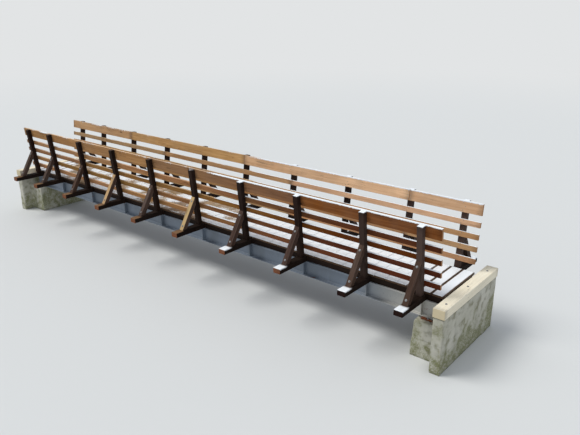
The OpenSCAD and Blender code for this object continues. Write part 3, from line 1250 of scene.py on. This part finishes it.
# %% End sills
SILL_TONE, SILL_EASE = 0.6, 0.008
sills = []
for low, high in solid_boxes("end_sills"):
    size = high - low
    sill = put(stock((size.y, size.x, size.z), ease=SILL_EASE), (low + high) / 2, Y, X)
    sills.append(grown(sill, SILL_TONE))
gather("sawn_sills", sills, sill_timber, "sill_timber", "end_sills")
print("sills", len(sills))

# %% [markdown]
# ## Abutments
# Poured concrete has softened, slightly uneven edges and a skin that isn't flat. A copy of the
# packed block is bevelled, remeshed into small even faces, and pressed in by a coarse and a fine
# cloud pattern. Its base is then flattened again, so that it stands level.

# %% Abutments
FOOT_BAND = 0.03
COARSE = hollows("worn_concrete", 0.25)
FINE = hollows("rough_skin", 0.05)
for name in ("left_abutment", "right_abutment"):
    block = merged_copy(name)
    finish_with(block, "BEVEL", width=0.014, segments=2)
    finish_with(block, "REMESH", mode="VOXEL", voxel_size=0.022)
    finish_with(block, "DISPLACE", texture=COARSE, strength=0.014, mid_level=1.0)
    finish_with(block, "DISPLACE", texture=FINE, strength=0.006, mid_level=1.0)
    start_edit("VERT")
    end_edit()
    for point in block.data.vertices:
        point.select = point.co.z < FOOT_BAND
    bpy.ops.object.mode_set(mode="EDIT")
    bpy.ops.transform.resize(value=(1, 1, 0), center_override=(0, 0, 0))
    end_edit()
    bpy.ops.object.shade_smooth()
    gather("poured_" + name, [block], concrete, "concrete", name)
print("faces of an abutment:", len(block.data.polygons))

# %% [markdown]
# ## Short cylinders
# The frame is bolted together and the boards are screwed on. A washer, a hexagon head, a nut and
# the end of a thread are all short cylinders of 6 to 20 sides whose upper rim is eased, so one
# function makes them.

# %% Short cylinders
ROUND, HEXAGON = 20, 6


def stub(radius, height, sides, level=0.0, ease=0.001):
    """A short upright cylinder on a level, with its upper rim eased"""
    deselect()
    bpy.ops.mesh.primitive_cylinder_add(
        vertices=sides, radius=radius, depth=height, location=(0, 0, level + height / 2))
    piece = bpy.context.object
    bpy.ops.object.transform_apply()
    pick_edges(piece, lambda a, b: min(a.z, b.z) > level + height - TOUCHING)
    bpy.ops.mesh.bevel(offset=ease, segments=2, affect="EDGES")
    end_edit()
    return piece


def joined(*parts):
    activate(*parts)
    bpy.ops.object.join()
    return bpy.context.object


print("sides of a washer and of a nut:", ROUND, HEXAGON)

# %% [markdown]
# ## A bolt head, a nut and a screw
# A bolt head is a washer with a hexagon on it, and a nut also shows the end of its thread. A screw
# has a round head with a sunk socket. Each kind is made once, upright on the origin, and copied to
# where it is fastened.

# %% A bolt head, a nut and a screw
WASHER = 0.003
WORN = 0.0015
SOCKET_RIM, SOCKET_DEPTH = 0.002, 0.0015
bolt_head = joined(stub(0.018, WASHER, ROUND), stub(0.0125, 0.009, HEXAGON, WASHER, WORN))
nut = joined(stub(0.019, WASHER, ROUND), stub(0.0145, 0.013, HEXAGON, WASHER, WORN),
             stub(0.008, 0.011, 12, WASHER + 0.012, WORN))
screw = stub(0.006, 0.004, 10, 0.0, WORN)
pick_faces(screw, lambda centre, normal: normal.z > 0.99)
bpy.ops.mesh.inset(thickness=SOCKET_RIM)
bpy.ops.transform.translate(value=(0, 0, -SOCKET_DEPTH))
end_edit()


def fasten(master, spots, outward, level=X):
    """Copies of a fastener on these spots, with its head pointing outward"""
    return [put(master, spot, level, outward.cross(level)) for spot in spots]


print("faces of a bolt, a nut and a screw:",
      [len(each.data.polygons) for each in (bolt_head, nut, screw)])

# %% [markdown]
# ## Bolts of the braces
# Each brace has a lag bolt near its foot and one near its head, square to its outer face. Heads
# sit a little into the timber, as when they are drawn tight. The brace was worked out for the
# front, so its measures are mirrored for the back.

# %% Bolts of the braces
SUNK = 0.0015
BRACE_BOLT = 0.085


def brace_bolts(side, sign):
    flip = Vector((1, -sign, 1))
    made = []
    for place in POST_X:
        base = Vector((place, outer_foot_y[side], BEAM_TOP))
        spots = [base + (outer_foot + slope * BRACE_BOLT + inward * SUNK) * flip,
                 base + (outer_head - slope * BRACE_BOLT + inward * SUNK) * flip]
        made += fasten(bolt_head, spots, (inward * -1) * flip)
    return made


print("a brace's bolts are", round(slope_length - 2 * BRACE_BOLT, 3), "m apart")

# %% [markdown]
# ## Bolts of the girders
# Each floor beam is bolted through the top flange on both sides of the web, and each nailer twice
# in every bay, so that nuts hang below the flange, clear of the stiffeners. The channels are
# bolted to the stiffeners of four floor beams, with a nut on one side and a head on the other.

# %% Bolts of the girders
FLANGE_THICKNESS, STIFFENER_THICKNESS, CHANNEL_THICKNESS = 0.009, 0.010, 0.007
BESIDE_STIFFENER, BESIDE_WEB = 0.035, 0.045
CHANNEL_REACH, CHANNEL_LIFT = 0.038, 0.045


def girder_bolts(side, sign):
    low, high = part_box(f"{side}_girder")
    web_y, middle_z = (low.y + high.y) / 2, (low.z + high.z) / 2
    under = high.z - FLANGE_THICKNESS
    made = []
    for place in POST_X:
        spots = [(place + way * BESIDE_STIFFENER, web_y + way * BESIDE_WEB, under)
                 for way in (1, -1)]
        made += fasten(nut, spots, -Z)
    for start, end in zip(POST_X, POST_X[1:]):
        spots = [(start + share * (end - start), web_y - sign * BESIDE_WEB * way, under)
                 for share, way in ((0.25, 1), (0.75, -1))]
        made += fasten(nut, spots, -Z)
    for place in (POST_X[0], POST_X[3], POST_X[POSTS - 4], POST_X[POSTS - 1]):
        inwards = -X if place > 0 else X
        for lift in (-CHANNEL_LIFT, CHANNEL_LIFT):
            bolt_at = Vector((place, web_y - sign * CHANNEL_REACH, middle_z + lift))
            nut_at = bolt_at + inwards * (STIFFENER_THICKNESS / 2 + CHANNEL_THICKNESS)
            made += fasten(nut, [nut_at], inwards, Z)
            made += fasten(bolt_head, [bolt_at - inwards * STIFFENER_THICKNESS / 2], -inwards, Z)
    return made


print("nuts hang", FLANGE_THICKNESS, "m under the floor beams")

# %% [markdown]
# ## All bolts and nuts
# Nuts also hold the bearing plates to the concrete, and bolts the sills to the backwalls. All of
# them are joined into one piece, because they share one finish and nothing moves.

# %% All bolts and nuts
PLATE_REACH, SILL_REACH = 0.093, 0.7
fasteners = []
for side, sign in SIDES.items():
    fasteners += brace_bolts(side, sign) + girder_bolts(side, sign)
for low, high in solid_boxes("bearing_plates"):
    centre = (low + high) / 2
    spots = [(centre.x, centre.y + way * PLATE_REACH, high.z) for way in (-1, 1)]
    fasteners += fasten(nut, spots, Z)
for low, high in solid_boxes("end_sills"):
    spots = [((low.x + high.x) / 2, way * SILL_REACH, high.z - 2 * SUNK) for way in (-1, 0, 1)]
    fasteners += fasten(bolt_head, spots, Z)
gather("bolts_and_nuts", fasteners, galvanised, "bolt_steel")
print("bolts and nuts:", len(fasteners))

# %% [markdown]
# ## Rail screws
# A board crosses a post with two screws, one above the other and a little apart, and the wide top
# board with three. Where a board ends on a post, its screws stand in one column beside the joint.
# They go in from the walkway, so each is laid on the inner face of its board, square to the lean.

# %% Rail screws
ROWS_WIDE, ROWS_NARROW = (-0.06, 0.0, 0.06), (-0.024, 0.024)
ZIGZAG, BESIDE_JOINT = 0.018, 0.024
WIDE_BOARD, SLACK = 0.12, 0.01
screws = []


def beside_post(place, low, high, k):
    """How far to the side of a post's middle a screw stands in a board"""
    if place - low.x < POST_WIDTH / 2:
        return BESIDE_JOINT
    if high.x - place < POST_WIDTH / 2:
        return -BESIDE_JOINT
    return ZIGZAG if k % 2 else -ZIGZAG


for side, sign in SIDES.items():
    up_rail, out_of_rail = rail_ways(sign)
    for node in (f"{side}_top_rail", f"{side}_slats"):
        for low, high in solid_boxes(node):
            width, thickness = section(high - low, up_rail)
            rows = ROWS_WIDE if width > WIDE_BOARD else ROWS_NARROW
            face = (low + high) / 2 - out_of_rail * (thickness / 2 - SUNK)
            crossed = [place for place in POST_X if low.x - SLACK < place < high.x + SLACK]
            for place in crossed:
                for k, row in enumerate(rows):
                    column = place + beside_post(place, low, high, k) - face.x
                    spot = face + up_rail * row + X * column
                    screws += fasten(screw, [spot], -out_of_rail)
gather("rail_screws", screws, galvanised, "bolt_steel")
print("rail screws:", len(screws))

# %% [markdown]
# ## Deck screws
# Each plank has two screws into the timber over each girder. They are set a little below the
# top of the plank, so that nobody trips on them.

# %% Deck screws
SCREW_SET = 0.0055
SCREW_SPREAD = 0.28
screws = []
web_y = abs(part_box("front_girder")[0].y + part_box("front_girder")[1].y) / 2
for low, high in solid_boxes("deck_planks"):
    middle_x, reach = (low.x + high.x) / 2, (high.x - low.x) * SCREW_SPREAD
    spots = [(middle_x + way * reach, side_y, high.z - SCREW_SET)
             for side_y in (-web_y, web_y) for way in (-1, 1)]
    screws += fasten(screw, spots, Z)
gather("deck_screws", screws, galvanised, "bolt_steel")
print("deck screws:", len(screws))

# %% [markdown]
# ## Clearing up
# The timbers and fasteners that were only modelled to be copied still lie at the origin. They
# aren't part of the bridge, so they are deleted.

# %% Clear up
activate(rough_post, rough_brace, bolt_head, nut, screw, *masters.values())
bpy.ops.object.delete()
print("deleted", 5 + len(masters), "pieces that were only copied")
